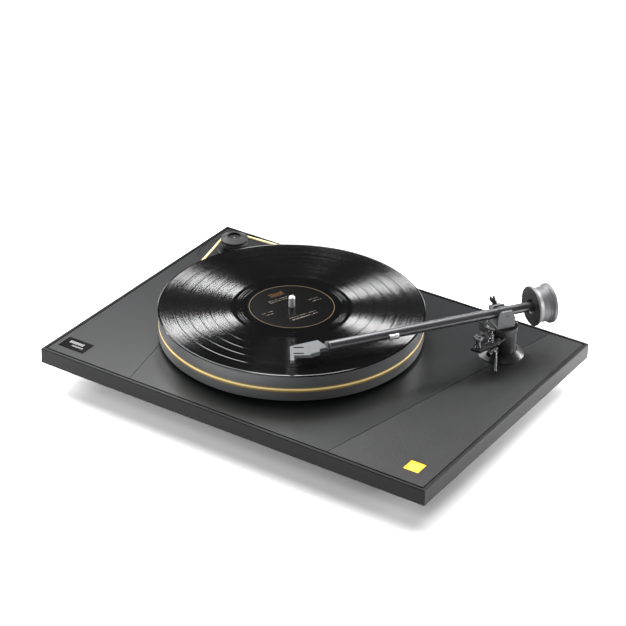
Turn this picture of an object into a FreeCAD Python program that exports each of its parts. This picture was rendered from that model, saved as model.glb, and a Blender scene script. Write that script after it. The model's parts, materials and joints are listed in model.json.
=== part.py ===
"""Belt-driven turntable with a ten-inch tonearm, as separate pieces in millimetres.

The origin is on the table under the middle of the plinth: X to the right, Y to the back, Z up.
"""
import FreeCAD, Part
import math
import os
import re
import Sketcher
from FreeCAD import Placement, Rotation, Vector

doc = FreeCAD.newDocument("Turntable")

# ---------------------------------------------------------------- driving sizes
SIZES = {
    # plinth, top panels and feet
    "plinth_width": 500, "plinth_depth": 362, "plinth_thick": 18, "foot_height": 28,
    "lip_width": 3.6, "rim_gap": 2.0, "panel_thick": 1.2, "panel_joint": 0.6,
    "joint_left": 167.2, "joint_right": 165.2, "joint_lean": 12,
    "foot_radius": 21, "foot_front_x": 170, "foot_front_y": 125, "foot_rear_x": 125,
    "foot_rear_y": 135, "foot_head_radius": 5.5, "foot_head_height": 4,
    "foot_bolt_radius": 3, "foot_recess_radius": 17, "foot_recess_depth": 5, "pad_thick": 8,
    "badge_x": -221.7, "badge_y": -153, "badge_length": 34, "badge_width": 21, "badge_thick": 0.5,
    # power button
    "button_x": 217.5, "button_y": -147, "button_size": 18, "button_clear": 0.25, "button_sink": 0.6,
    "button_height": 5.4, "button_travel": 1.5, "guide_wall": 2.4, "board_thick": 1.2, "cover_thick": 1.5,
    "spring_radius": 3, "spring_wire": 0.35, "spring_turns": 5,
    # main bearing, platter and record
    "platter_x": -36.95, "platter_y": 4.49, "platter_gap": 4, "platter_thick": 31, "platter_radius": 150,
    "hub_radius": 45, "hub_gap": 0.3, "shaft_radius": 5, "shaft_clear": 0.04, "shaft_bottom": 31,
    "bush_wall": 3, "housing_wall": 4, "housing_flange": 20, "flange_proud": 0.8, "ball_radius": 3,
    "record_thick": 1.9, "record_radius": 150.8, "record_bead": 2.8, "groove_relief": 0.35,
    "label_radius": 50, "label_thick": 0.1, "spindle_radius": 3.6, "spindle_neck": 3.1,
    "spindle_height": 14, "spindle_tip": 2.6,
    # belt, motor and pulley
    "motor_x": -201.7, "motor_y": 127.5, "belt_level": 18.4, "belt_thick": 2.4, "belt_clear": 0.3,
    "belt_on_platter": 149, "belt_on_pulley": 15, "plate_shift_x": 3.2, "plate_shift_y": -3.5,
    "plate_radius": 44.5, "plate_thick": 3, "boss_radius": 21, "boss_height": 7, "motor_radius": 25,
    "motor_length": 30, "motor_flange_radius": 36, "motor_flange_thick": 2, "grommet_height": 3,
    "motor_screw_circle": 31, "screw_radius": 1.6, "screw_head": 3.2, "motor_shaft_radius": 2,
    "motor_shaft_clear": 0.05,
    "pulley_rim": 16.5, "pulley_flange": 15.8, "pulley_top": 24.2, "pulley_cup": 8,
    # tonearm base and pillar
    "pivot_x": 177.5, "pivot_y": 105.6, "arm_yaw": -124.11, "arm_level": 53,
    "pillar_radius": 16.5, "pillar_clear": 0.06, "pillar_bore": 9, "pillar_below": 16, "pillar_top": 33,
    "base_radius": 26.2, "base_neck": 17.9, "base_height": 6.2, "spigot_radius": 19, "spigot_length": 22,
    "collar_radius": 17.6, "collar_bottom": 29.7, "collar_top": 37.7,
    "bracket_bottom": 26, "bracket_thick": 3, "swing_shaft": 4, "swing_clear": 0.05,
    "rest_x": -3.6, "rest_y": -47.4, "rest_post_radius": 3.1, "rest_post_height": 9.5,
    "lifter_x": 2.4, "lifter_y": -29.1, "lifter_radius": 3, "lifter_height": 9.5, "rod_radius": 1.4,
    "rod_clear": 0.06, "lift_bar_radius": 28.6, "lift_bar_width": 3.2, "lift_bar_thick": 2, "lift_gap": 2.1,
    "lift_travel": 4, "cam_radius": 3.1, "lever_radius": 1.4, "lever_eye": 2.5,
    "lever_shaft": 1.5,
    # tonearm
    "tube_radius": 5.65, "tube_bore": 4.65, "tube_end": 213, "stub_radius": 4.5, "stub_start": 30,
    "stub_end": 62, "cheek_inner": 8.8, "cheek_thick": 2.8, "cheek_length": 21, "cheek_shift": 1.1,
    "cheek_rise": 6, "cheek_far_rise": 3.7, "cheek_slope": 3, "cheek_top_length": 13, "yoke_floor": 3.7,
    "yoke_gap": 0.6, "pivot_radius": 2, "tip_radius": 1.2, "tip_clear": 0.05, "tip_reach": 4.8,
    "sleeve_length": 14, "sleeve_radius": 6.2, "weight_front": 34, "weight_length": 24, "weight_round": 1.4,
    "weight_radius": 22.8, "weight_waist": 20, "weight_mouth": 8, "weight_clear": 0.06,
    "shell_reach": 243.75, "shell_side": -4.35, "offset_angle": 21, "shell_thick": 3.3, "shell_drop": 0.8,
    "slot_spacing": 12.7, "slot_length": 11.5, "slot_width": 2.5, "shell_front": 9.2, "shell_far": 8.8,
    "shell_near": 10.4, "finger_reach": 21.2, "finger_width": 4.2, "neck_length": 12, "slug_reach": 136,
    "slug_length": 11, "slug_radius": 3.3, "slug_knurl": 4.4, "ring_length": 2.6,
    "ledge_length": 14, "ledge_width": 8, "ledge_deep": 7, "prong_top": 11.4,
    # rear connections
    "box_x": 35, "box_length": 110, "box_back": 168, "box_depth": 30, "box_height": 22, "box_wall": 2,
    "socket_radius": 4.1, "socket_length": 9, "socket_bore": 3.2, "socket_spacing": 18,
    "contact_radius": 1.6, "earth_radius": 2, "earth_length": 8, "inlet_radius": 5.5, "inlet_bore": 2.8,
}

sheet = doc.addObject("Spreadsheet::Sheet", "Sizes")
for row, (alias, value) in enumerate(SIZES.items(), start=1):
    sheet.set(f"A{row}", alias)
    sheet.set(f"B{row}", str(value))
    sheet.setAlias(f"B{row}", alias)
doc.recompute()

ALIAS = re.compile(r"\b(" + "|".join(sorted(SIZES, key=len, reverse=True)) + r")\b")
AXIS_TURN = {
    "x": Rotation(Vector(0, 1, 0), 90),
    "y": Rotation(Vector(1, 0, 0), -90),
    "z": Rotation(),
}
TOP = "(foot_height + plinth_thick)"
RECORD_BASE = "(platter_gap + platter_thick)"
RECORD_TOP = "(platter_gap + platter_thick + record_thick)"
FULL_TURN = 360


def cells(text):
    """Turn the names of sizes in a text into references to the sheet."""
    return ALIAS.sub(r"Sizes.\1", text)


def number(text):
    """The value that an expression on sizes has now."""
    result = sheet.evalExpression(cells(text))
    return float(getattr(result, "Value", result))


# ---------------------------------------------------------------- places that pieces are built in
class Place:
    """An origin, as three expressions, and a turn about Z, as one."""

    def __init__(self, x, y, z, yaw="0"):
        self.base = (x, y, z)
        self.yaw = yaw


DECK = Place("0", "0", "0")
PANEL = Place("0", "0", TOP)
BEARING = Place("platter_x", "platter_y", TOP)
MOTOR = Place("motor_x", "motor_y", TOP)
BUTTON = Place("button_x", "button_y", TOP)
PILLAR = Place("pivot_x", "pivot_y", TOP)
ARM = Place("pivot_x", "pivot_y", TOP + " + arm_level", "arm_yaw")
SHELL = Place(
    "pivot_x + shell_reach * cos(arm_yaw) - shell_side * sin(arm_yaw)",
    "pivot_y + shell_reach * sin(arm_yaw) + shell_side * cos(arm_yaw)",
    TOP + " + arm_level", "arm_yaw - offset_angle")

finished = []


def finish(piece, label, place, rotation=Rotation()):
    """Name a piece, put it in its place and add it to the list of sub-parts."""
    piece.Label = label
    turn = Rotation(Vector(0, 0, 1), number(place.yaw)).multiply(rotation)
    piece.Placement = Placement(Vector(), turn)
    for letter, expression in zip("xyz", place.base):
        piece.setExpression(f"Placement.Base.{letter}", cells(expression))
    finished.append(piece)
    return piece


# ---------------------------------------------------------------- sketches
def new_body(name):
    return doc.addObject("PartDesign::Body", name)


def plane_of(body, role):
    return next(item for item in body.Origin.OriginFeatures if item.Role == role)


def sketch_in(body, role, height="0"):
    sketch = body.newObject("Sketcher::SketchObject", body.Name + "_sketch")
    sketch.AttachmentSupport = (plane_of(body, role), [""])
    sketch.MapMode = "FlatFace"
    sketch.setExpression("AttachmentOffset.Base.z", cells(height))
    return sketch


def hold(sketch, kind, expression, *where):
    """Add one driving dimension to a sketch and bind it to an expression."""
    index = sketch.addConstraint(Sketcher.Constraint(kind, *where, number(expression)))
    sketch.setExpression(f"Constraints[{index}]", cells(expression))


def arc_between(start, end, radius):
    """The short arc from start to end: anticlockwise for a positive radius, clockwise for a negative."""
    if radius < 0:
        start, end = end, start
    chord = end - start
    rise = math.sqrt(max(radius * radius - chord.Length ** 2 / 4, 0))
    side = Vector(-chord.y, chord.x, 0).normalize()
    centre = (start + end) * 0.5 + side * rise
    angles = [math.atan2(point.y - centre.y, point.x - centre.x) for point in (start, end)]
    return Part.ArcOfCircle(Part.Circle(centre, Vector(0, 0, 1), abs(radius)), *angles)


def draw_outline(sketch, points):
    """Draw a closed outline. A point is (x, y), or (x, y, radius) where an arc runs on to the next."""
    spots = [Vector(number(point[0]), number(point[1]), 0) for point in points]
    ends = []
    for here, point in enumerate(points):
        start, end = spots[here], spots[(here + 1) % len(points)]
        radius = number(point[2]) if len(point) == 3 else 0
        edge = arc_between(start, end, radius) if radius else Part.LineSegment(start, end)
        first, last = (2, 1) if radius < 0 else (1, 2)
        ends.append((sketch.addGeometry(edge, False), first, last))
    for here, point in enumerate(points):
        edge, first, last = ends[here]
        following = ends[(here + 1) % len(points)]
        sketch.addConstraint(Sketcher.Constraint("Coincident", edge, last, following[0], following[1]))
        hold(sketch, "DistanceX", point[0], -1, 1, edge, first)
        hold(sketch, "DistanceY", point[1], -1, 1, edge, first)
        if len(point) == 3:
            hold(sketch, "Radius", f"abs({point[2]})", edge)


def draw_circle(sketch, x, y, radius):
    centre = Vector(number(x), number(y), 0)
    edge = sketch.addGeometry(Part.Circle(centre, Vector(0, 0, 1), number(radius)), False)
    hold(sketch, "DistanceX", x, -1, 1, edge, 3)
    hold(sketch, "DistanceY", y, -1, 1, edge, 3)
    hold(sketch, "Radius", radius, edge)


def draw(sketch, shapes):
    """Draw outlines, given as lists of points, and circles, given as (x, y, radius)."""
    for shape in shapes:
        if isinstance(shape, list):
            draw_outline(sketch, shape)
        else:
            draw_circle(sketch, *shape)


def rectangle(x, y, length, width):
    left, right = f"{x} - ({length}) / 2", f"{x} + ({length}) / 2"
    front, back = f"{y} - ({width}) / 2", f"{y} + ({width}) / 2"
    return [(left, front), (right, front), (right, back), (left, back)]


def ring_of(count, radius, start=90):
    """Places evenly round a circle, as pairs of expressions."""
    turns = [start + FULL_TURN * index / count for index in range(count)]
    return [(f"({radius}) * cos({turn})", f"({radius}) * sin({turn})") for turn in turns]


def holes(places, radius, x="0", y="0"):
    return [(f"{x} + {a}", f"{y} + {b}", radius) for a, b in places]


# ---------------------------------------------------------------- solids
def pad(body, shapes, bottom, height):
    sketch = sketch_in(body, "XY_Plane", bottom)
    draw(sketch, shapes)
    feature = body.newObject("PartDesign::Pad", body.Name + "_pad")
    feature.Profile = sketch
    feature.setExpression("Length", cells(height))
    return feature


def pocket(body, shapes, top, depth):
    """Cut straight down from a level; the cut has to take something away."""
    before = solid_volume(body)
    sketch = sketch_in(body, "XY_Plane", top)
    draw(sketch, shapes)
    feature = body.newObject("PartDesign::Pocket", body.Name + "_pocket")
    feature.Profile = sketch
    feature.setExpression("Length", cells(depth))
    if solid_volume(body) >= before:
        raise ValueError(f"{body.Name}: a pocket cuts nothing")
    return feature


def solid_volume(body):
    doc.recompute()
    return body.Shape.Volume


def soften(body, kind, size, chosen):
    """Fillet or chamfer the edges that a test picks."""
    doc.recompute()
    base = body.Tip
    names = [f"Edge{i}" for i, edge in enumerate(base.Shape.Edges, start=1) if chosen(edge)]
    if not names:
        raise ValueError(f"{body.Name}: no edge to soften")
    feature = body.newObject("PartDesign::" + kind, body.Name + "_" + kind.lower())
    feature.Base = (base, names)
    setattr(feature, "Radius" if kind == "Fillet" else "Size", size)
    return feature


def lathe(name, profile, along="z"):
    """A body turned about Z from points as (radius, z), or about X from points as (x, radius)."""
    body = new_body(name)
    sketch = sketch_in(body, "XZ_Plane")
    draw_outline(sketch, profile)
    feature = body.newObject("PartDesign::Revolution", name + "_turn")
    feature.Profile = sketch
    feature.ReferenceAxis = (sketch, ["V_Axis" if along == "z" else "H_Axis"])
    feature.Angle = FULL_TURN
    return body


def turned(label, place, profile, along="z"):
    return finish(lathe(label, profile, along), label, place)


def rod(name, spot, radius, low, high, axis="z"):
    """A plain cylinder from low to high along an axis through a spot."""
    piece = doc.addObject("Part::Cylinder", name)
    piece.Placement = Placement(Vector(), AXIS_TURN[axis])
    piece.setExpression("Radius", cells(radius))
    piece.setExpression("Height", cells(f"({high}) - ({low})"))
    for letter, base in zip("xyz", spot):
        start = f"{base} + ({low})" if letter == axis else base
        piece.setExpression(f"Placement.Base.{letter}", cells(start))
    return piece


def block(name, x, y, z):
    """A plain box between pairs of limits."""
    piece = doc.addObject("Part::Box", name)
    for side, letter, (low, high) in zip(("Length", "Width", "Height"), "xyz", (x, y, z)):
        piece.setExpression(side, cells(f"({high}) - ({low})"))
        piece.setExpression(f"Placement.Base.{letter}", cells(low))
    return piece


def join(name, pieces):
    """Fuse pieces; one alone is wrapped, so that it keeps its own placement inside the result."""
    if len(pieces) == 1:
        wrapped = doc.addObject("Part::Compound", name)
        wrapped.Links = pieces
        return wrapped
    joined = doc.addObject("Part::MultiFuse", name)
    joined.Shapes = pieces
    return joined


def cut(name, base, tools):
    result = doc.addObject("Part::Cut", name)
    result.Base = base
    result.Tool = join(name + "_tools", tools)
    return result


def stacks(label, place, spots, solids, bores=(), axis="z"):
    """Coaxial cylinders at each spot, each as (radius, low, high), less coaxial bores."""
    made = [rod(label + "_solid", spot, *size, axis) for spot in spots for size in solids]
    piece = join(label + "_stack", made)
    if bores:
        tools = [rod(label + "_bore", spot, *size, axis) for spot in spots for size in bores]
        piece = cut(label + "_bored", piece, tools)
    return finish(piece, label, place)


def level(places, z="0"):
    return [(x, y, z) for x, y in places]


# ---------------------------------------------------------------- plinth and top panels
INNER_X = "(plinth_width / 2 - lip_width)"
INNER_Y = "(plinth_depth / 2 - lip_width)"
PANEL_X = "(plinth_width / 2 - lip_width - rim_gap)"
PANEL_Y = "(plinth_depth / 2 - lip_width - rim_gap)"
FOOT_SPOTS = [
    ("-foot_front_x", "-foot_front_y"), ("foot_front_x", "-foot_front_y"),
    ("-foot_rear_x", "foot_rear_y"), ("foot_rear_x", "foot_rear_y"),
]
FOOT_BOLT_DEPTH = "(plinth_thick - 6)"
PLATE_CIRCLE = ("motor_x + plate_shift_x", "motor_y + plate_shift_y", "plate_radius + 0.25")
HOUSING_RADIUS = "(shaft_radius + shaft_clear + bush_wall + housing_wall)"
BEARING_SCREWS = ring_of(3, "housing_flange - 4")
GUIDE_OUTER = "(button_size + 2 * button_clear + 2 * guide_wall)"
GUIDE_INNER = "(button_size + 2 * button_clear)"

board = new_body("plinth_board")
pad(board, [rectangle("0", "0", "plinth_width", "plinth_depth")], "foot_height", "plinth_thick")
soften(board, "Chamfer", 0.7, lambda edge: edge.BoundBox.ZMin > number(TOP) - 0.01)
soften(board, "Fillet", 1.0, lambda edge: edge.BoundBox.ZLength > number("plinth_thick") / 2)
pocket(board, [rectangle("0", "0", f"2 * {INNER_X}", f"2 * {INNER_Y}")], TOP, "panel_thick")
pocket(board, [PLATE_CIRCLE], TOP, "plate_thick")
pocket(board, [("motor_x", "motor_y", "motor_flange_radius + 1.5")], TOP, "plinth_thick + 1")
pocket(board, [("platter_x", "platter_y", HOUSING_RADIUS + " + 0.1"),
               ("pivot_x", "pivot_y", "spigot_radius + 0.1"),
               rectangle("button_x", "button_y", GUIDE_OUTER, GUIDE_OUTER)], TOP, "plinth_thick + 1")
pocket(board, holes(BEARING_SCREWS, "1.45", "platter_x", "platter_y"), TOP, "10")
pocket(board, holes(FOOT_SPOTS, "foot_bolt_radius"), f"foot_height + {FOOT_BOLT_DEPTH}",
       FOOT_BOLT_DEPTH + " + 1")
finish(board, "plinth_board", DECK)


def joint_x(side, y, gap):
    """Where a slanted panel joint lies at a depth: the left one leans left, the right one right."""
    sign = "-" if side == "left" else ""
    return f"{sign}(joint_{side} + tan(joint_lean) * ({y})) + ({gap})"


def top_panel(label, left_side, right_side, openings):
    front, back = f"-{PANEL_Y}", PANEL_Y
    half = "panel_joint / 2"
    corners = [
        (joint_x(left_side, front, half) if left_side else f"-{PANEL_X}", front),
        (joint_x(right_side, front, "-" + half) if right_side else PANEL_X, front),
        (joint_x(right_side, back, "-" + half) if right_side else PANEL_X, back),
        (joint_x(left_side, back, half) if left_side else f"-{PANEL_X}", back),
    ]
    body = new_body(label)
    pad(body, [corners], "-panel_thick", "panel_thick")
    for opening in openings:
        pocket(body, [opening], "0", "panel_thick + 1")
    finish(body, label, PANEL)


SPIGOT_CIRCLE = ("pivot_x", "pivot_y", "spigot_radius + 0.2")
top_panel("top_panel_left", None, "left", [PLATE_CIRCLE])
top_panel("top_panel_centre", "left", "right",
          [PLATE_CIRCLE, ("platter_x", "platter_y", "housing_flange + 1"), SPIGOT_CIRCLE])
top_panel("top_panel_right", "right", None,
          [SPIGOT_CIRCLE, rectangle("button_x", "button_y", GUIDE_INNER, GUIDE_INNER)])

badge = new_body("badge_plate")
pad(badge, [rectangle("badge_x", "badge_y", "badge_length", "badge_width")], "0", "badge_thick")
finish(badge, "badge_plate", PANEL)

# ---------------------------------------------------------------- feet
BOLT_SEAT = "(pad_thick + foot_head_height + 2)"
stacks("foot_cups", DECK, level(FOOT_SPOTS),
       [("foot_radius", "pad_thick - foot_recess_depth", "foot_height")],
       [("foot_recess_radius + 0.1", "0", "pad_thick"), ("foot_head_radius + 0.5", "0", BOLT_SEAT),
        ("foot_bolt_radius + 0.2", "0", "foot_height + 1")])
stacks("foot_pads", DECK, level(FOOT_SPOTS), [("foot_recess_radius", "0", "pad_thick")])
stacks("foot_screws", DECK, level(FOOT_SPOTS),
       [("foot_head_radius", BOLT_SEAT + " - foot_head_height", BOLT_SEAT),
        ("foot_bolt_radius - 0.05", BOLT_SEAT, f"foot_height + {FOOT_BOLT_DEPTH} - 1")])

# ---------------------------------------------------------------- power button
COVER_TOP = "(-plinth_thick)"
BOARD_BOTTOM = f"({COVER_TOP} + 1.5)"
BOARD_TOP = f"({BOARD_BOTTOM} + board_thick)"
CAP_BOTTOM = "(-button_sink - button_height)"

guide = new_body("button_guide")
pad(guide, [rectangle("0", "0", GUIDE_OUTER + " - 0.2", GUIDE_OUTER + " - 0.2")], COVER_TOP,
    "plinth_thick - panel_thick")
pocket(guide, [rectangle("0", "0", GUIDE_INNER, GUIDE_INNER)], "0", "plinth_thick + 1")
finish(guide, "button_guide", BUTTON)

circuit = new_body("switch_board")
pad(circuit, [rectangle("0", "0", "button_size", "button_size")], BOARD_BOTTOM, "board_thick")
finish(circuit, "switch_board", BUTTON)

cover = new_body("switch_cover")
pad(cover, [rectangle("0", "0", GUIDE_OUTER + " + 14", GUIDE_OUTER + " + 14")],
    f"{COVER_TOP} - cover_thick", "cover_thick")
pad(cover, [rectangle("0", "0", "10", "10")], COVER_TOP + " - 0.2", "1.7")
soften(cover, "Fillet", 4, lambda edge: edge.BoundBox.ZLength > 1 and abs(edge.BoundBox.XMax) > 15)
finish(cover, "switch_cover", BUTTON)

cap = new_body("button_cap")
pad(cap, [rectangle("0", "0", "button_size", "button_size")], CAP_BOTTOM, "button_height")
soften(cap, "Fillet", 0.8, lambda edge: edge.BoundBox.ZLength > 1)
pocket(cap, [("0", "0", "spring_radius + 1.2")], CAP_BOTTOM + " + 2", "3")
finish(cap, "button_cap", BUTTON)

# The return spring stands on the board and reaches into the cap's recess.
spring_low = number(BOARD_TOP) + number("spring_wire")
spring_high = number(CAP_BOTTOM) + 2 - number("spring_wire") - 0.02
pitch = (spring_high - spring_low) / number("spring_turns")
helix = Part.makeHelix(pitch, spring_high - spring_low, number("spring_radius"))
wire_centre = Vector(number("spring_radius"), 0, 0)
wire = Part.Wire([Part.makeCircle(number("spring_wire"), wire_centre, Vector(0, 1, 0))])
coil = doc.addObject("Part::Feature", "button_spring")
coil.Shape = Part.Wire(helix.Edges).makePipeShell([wire], True, True)
finish(coil, "button_spring", Place("button_x", "button_y", f"{TOP} + {BOARD_TOP} + spring_wire"))

# ---------------------------------------------------------------- motor, pulley and belt
FLANGE_TOP = "(-plate_thick - grommet_height)"
FLANGE_BOTTOM = f"({FLANGE_TOP} - motor_flange_thick)"
MOTOR_SCREWS = ring_of(3, "motor_screw_circle", 30)
SHAFT_HOLE = "motor_shaft_radius + 0.6"

plate = new_body("motor_plate")
pad(plate, [("plate_shift_x", "plate_shift_y", "plate_radius")], "-plate_thick", "plate_thick")
soften(plate, "Chamfer", 0.5, lambda edge: abs(edge.BoundBox.ZMin) < 0.01 and edge.BoundBox.ZLength < 0.01)
pad(plate, [("0", "0", "boss_radius")], "-1", "boss_height + 1")
soften(plate, "Fillet", 1.2, lambda edge: edge.BoundBox.ZMin > number("boss_height") - 0.01)
pocket(plate, [("0", "0", SHAFT_HOLE)], "boss_height", "boss_height + plate_thick + 1")
pocket(plate, holes(MOTOR_SCREWS, "screw_radius"), "-1", "plate_thick")
finish(plate, "motor_plate", MOTOR)

motor = new_body("motor_can")
pad(motor, [("0", "0", "motor_flange_radius")], FLANGE_BOTTOM, "motor_flange_thick")
pad(motor, [("0", "0", "motor_radius")], f"{FLANGE_BOTTOM} - motor_length", "motor_length + 0.5")
soften(motor, "Fillet", 2, lambda edge: edge.BoundBox.ZMax < number(FLANGE_BOTTOM) - 5)
pocket(motor, [("0", "0", "motor_shaft_radius + motor_shaft_clear")], FLANGE_TOP, "motor_length - 2")
pocket(motor, holes(MOTOR_SCREWS, "screw_radius + 0.2"), FLANGE_TOP, "motor_flange_thick + 1")
finish(motor, "motor_can", MOTOR)

stacks("motor_grommets", MOTOR, level(MOTOR_SCREWS),
       [("screw_radius + 2.9", FLANGE_TOP, FLANGE_TOP + " + grommet_height")],
       [("screw_radius + 0.2", FLANGE_TOP + " - 1", "0")])
stacks("motor_screws", MOTOR, level(MOTOR_SCREWS),
       [("screw_head", FLANGE_BOTTOM + " - 2", FLANGE_BOTTOM),
        ("screw_radius - 0.05", FLANGE_BOTTOM, "-plate_thick + 1.8")])
stacks("motor_shaft", MOTOR, level([("0", "0")]),
       [("motor_shaft_radius", f"{FLANGE_TOP} - motor_length + 3", "pulley_top - 2.8")])

PULLEY_GROOVE = "belt_on_pulley - belt_thick / 2 - belt_clear"
GROOVE_LOW = "belt_level - belt_thick / 2 - belt_clear"
GROOVE_HIGH = "belt_level + belt_thick / 2 + belt_clear"
turned("drive_pulley", MOTOR, [
    ("motor_shaft_radius", "boss_height + 1.5"), ("11", "boss_height + 1.5"),
    ("11", "boss_height + 5"), ("pulley_flange - 0.8", "boss_height + 5"),
    ("pulley_flange", "boss_height + 6"), ("pulley_flange", GROOVE_LOW + " - 0.6"),
    ("pulley_flange - 0.6", GROOVE_LOW), (PULLEY_GROOVE, GROOVE_LOW),
    (PULLEY_GROOVE, GROOVE_HIGH), ("pulley_rim - 0.7", GROOVE_HIGH),
    ("pulley_rim", GROOVE_HIGH + " + 0.6"), ("pulley_rim", GROOVE_HIGH + " + 1"),
    ("pulley_cup + 3.4", "pulley_top - 0.5", "1.5"), ("pulley_cup + 2.4", "pulley_top"),
    ("pulley_cup + 0.5", "pulley_top"), ("pulley_cup", "pulley_top - 0.5"),
    ("pulley_cup", "pulley_top - 2.6"), ("motor_shaft_radius", "pulley_top - 2.6")])


def belt_loop():
    """A round belt: two straight runs that touch both circles, and an arc round each."""
    platter = Vector(number("platter_x"), number("platter_y"), 0)
    pulley = Vector(number("motor_x"), number("motor_y"), 0)
    big, small = number("belt_on_platter"), number("belt_on_pulley")
    thick = number("belt_thick") / 2
    span = pulley - platter
    heading = math.degrees(math.atan2(span.y, span.x))
    lean = math.degrees(math.acos((big - small) / span.Length))
    up = Vector(0, 0, 1)
    solids = []
    for sign in (1, -1):
        outward = Rotation(up, heading + sign * lean).multVec(Vector(1, 0, 0))
        start, end = platter + outward * big, pulley + outward * small
        solids.append(Part.makeCylinder(thick, (end - start).Length, start, end - start))
    bends = [
        (platter, big, heading + lean, FULL_TURN - 2 * lean),
        (pulley, small, heading - lean, 2 * lean)]
    for centre, radius, begin, sweep in bends:
        arc = Part.makeTorus(radius, thick, Vector(), up, 0, FULL_TURN, sweep)
        arc.Placement = Placement(centre, Rotation(up, begin))
        solids.append(arc)
    return solids[0].multiFuse(solids[1:]).removeSplitter()


belt = doc.addObject("Part::Feature", "drive_belt")
belt.Shape = belt_loop()
finish(belt, "drive_belt", Place("0", "0", TOP + " + belt_level"))

# ---------------------------------------------------------------- main bearing, platter and record
BUSH_INNER = "shaft_radius + shaft_clear"
BUSH_OUTER = "(shaft_radius + shaft_clear + bush_wall)"
BALL_TOP = "(-shaft_bottom)"
WELL_FLOOR = f"({BALL_TOP} - 2 * ball_radius)"

housing = lathe("bearing_housing", [
    ("0", WELL_FLOOR + " - 4"), (HOUSING_RADIUS + " - 1.5", WELL_FLOOR + " - 4"),
    (HOUSING_RADIUS, WELL_FLOOR + " - 2.5"), (HOUSING_RADIUS, "-panel_thick"),
    ("housing_flange", "-panel_thick"), ("housing_flange", "flange_proud - 0.4"),
    ("housing_flange - 0.4", "flange_proud"), (BUSH_OUTER, "flange_proud"),
    (BUSH_OUTER, WELL_FLOOR), ("0", WELL_FLOOR)])
pocket(housing, holes(BEARING_SCREWS, "1.7"), "flange_proud", "flange_proud + panel_thick + 1")
finish(housing, "bearing_housing", BEARING)
turned("bearing_bush", BEARING, [
    (BUSH_INNER, BALL_TOP + " + 2"), (BUSH_OUTER, BALL_TOP + " + 2"),
    (BUSH_OUTER, "flange_proud"), (BUSH_INNER, "flange_proud")])

ball = doc.addObject("Part::Sphere", "thrust_ball")
ball.setExpression("Radius", cells("ball_radius"))
finish(ball, "thrust_ball", Place("platter_x", "platter_y", f"{TOP} + {WELL_FLOOR} + ball_radius"))

stacks("bearing_screws", BEARING, level(BEARING_SCREWS),
       [("2.9", "flange_proud", "flange_proud + 1.5"), ("1.45", "-10", "flange_proud")])

HUB_TOP = "(platter_gap + 10)"
SHAFT_TOP = "(platter_gap + platter_thick - 5)"
turned("platter_hub", BEARING, [
    ("shaft_radius", "platter_gap + hub_gap"), ("hub_radius", "platter_gap + hub_gap"),
    ("hub_radius", HUB_TOP), ("shaft_radius", HUB_TOP)])
turned("platter", BEARING, [
    ("hub_radius + 0.2", "platter_gap"), ("platter_radius - 1.2", "platter_gap"),
    ("platter_radius", "platter_gap + 1.2"), ("platter_radius", GROOVE_LOW),
    ("belt_on_platter - belt_thick / 2 - belt_clear", GROOVE_LOW),
    ("belt_on_platter - belt_thick / 2 - belt_clear", GROOVE_HIGH),
    ("platter_radius", GROOVE_HIGH), ("platter_radius", RECORD_BASE + " - 0.8"),
    ("platter_radius - 0.8", RECORD_BASE), ("spindle_neck + 0.05", RECORD_BASE),
    ("spindle_neck + 0.05", SHAFT_TOP), ("shaft_radius + 0.02", SHAFT_TOP),
    ("shaft_radius + 0.02", HUB_TOP), ("hub_radius + 0.2", HUB_TOP)])
turned("spindle_shaft", BEARING, [
    ("0", BALL_TOP), ("shaft_radius - 0.6", BALL_TOP), ("shaft_radius", BALL_TOP + " + 0.6"),
    ("shaft_radius", SHAFT_TOP), ("spindle_neck", SHAFT_TOP),
    ("spindle_neck", RECORD_TOP + " + 0.5"), ("spindle_radius", RECORD_TOP + " + 0.5"),
    ("spindle_radius", RECORD_TOP + " + spindle_height - spindle_tip", "4"),
    ("0.9", RECORD_TOP + " + spindle_height - 0.2"), ("0", RECORD_TOP + " + spindle_height")])

turned("record_disc", BEARING, [
    ("spindle_radius + 0.02", RECORD_BASE), ("record_radius - 0.5", RECORD_BASE),
    ("record_radius", RECORD_BASE + " + 0.5"), ("record_radius", RECORD_TOP + " - 0.6"),
    ("record_radius - 0.5", RECORD_TOP + " - 0.1"), ("record_radius - 1.2", RECORD_TOP),
    ("record_radius - record_bead", RECORD_TOP + " - groove_relief"),
    ("label_radius + 3", RECORD_TOP + " - groove_relief"), ("label_radius + 1", RECORD_TOP),
    ("spindle_radius + 0.02", RECORD_TOP)])
turned("record_label", BEARING, [
    ("spindle_radius + 0.02", RECORD_TOP), ("label_radius", RECORD_TOP),
    ("label_radius", RECORD_TOP + " + label_thick"),
    ("spindle_radius + 0.02", RECORD_TOP + " + label_thick")])

# ---------------------------------------------------------------- tonearm base and pillar
LOCK_LEVEL = "(base_height / 2)"
flange = lathe("flange_blank", [
    ("pillar_radius + pillar_clear", "-spigot_length"), ("spigot_radius", "-spigot_length"),
    ("spigot_radius", "0"), ("base_radius", "0"), ("base_radius", "0.9"), ("base_neck", "base_height"),
    ("pillar_radius + pillar_clear", "base_height")])
lock_hole = rod("lock_hole", ("0", "0", LOCK_LEVEL), "1.3", "pillar_radius - 2", "base_radius", "y")
finish(cut("flange_drilled", flange, [lock_hole]), "arm_base_flange", PILLAR)
turned("arm_base_nut", PILLAR, [
    ("spigot_radius + 0.02", "-spigot_length + 0.5"), ("spigot_radius + 6", "-spigot_length + 0.5"),
    ("spigot_radius + 6", "-plinth_thick"), ("spigot_radius + 0.02", "-plinth_thick")])
stacks("height_lock_screw", PILLAR, [("0", "0", LOCK_LEVEL)],
       [("1.25", "pillar_radius + 0.35", "base_neck + 2.6")], axis="y")

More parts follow.
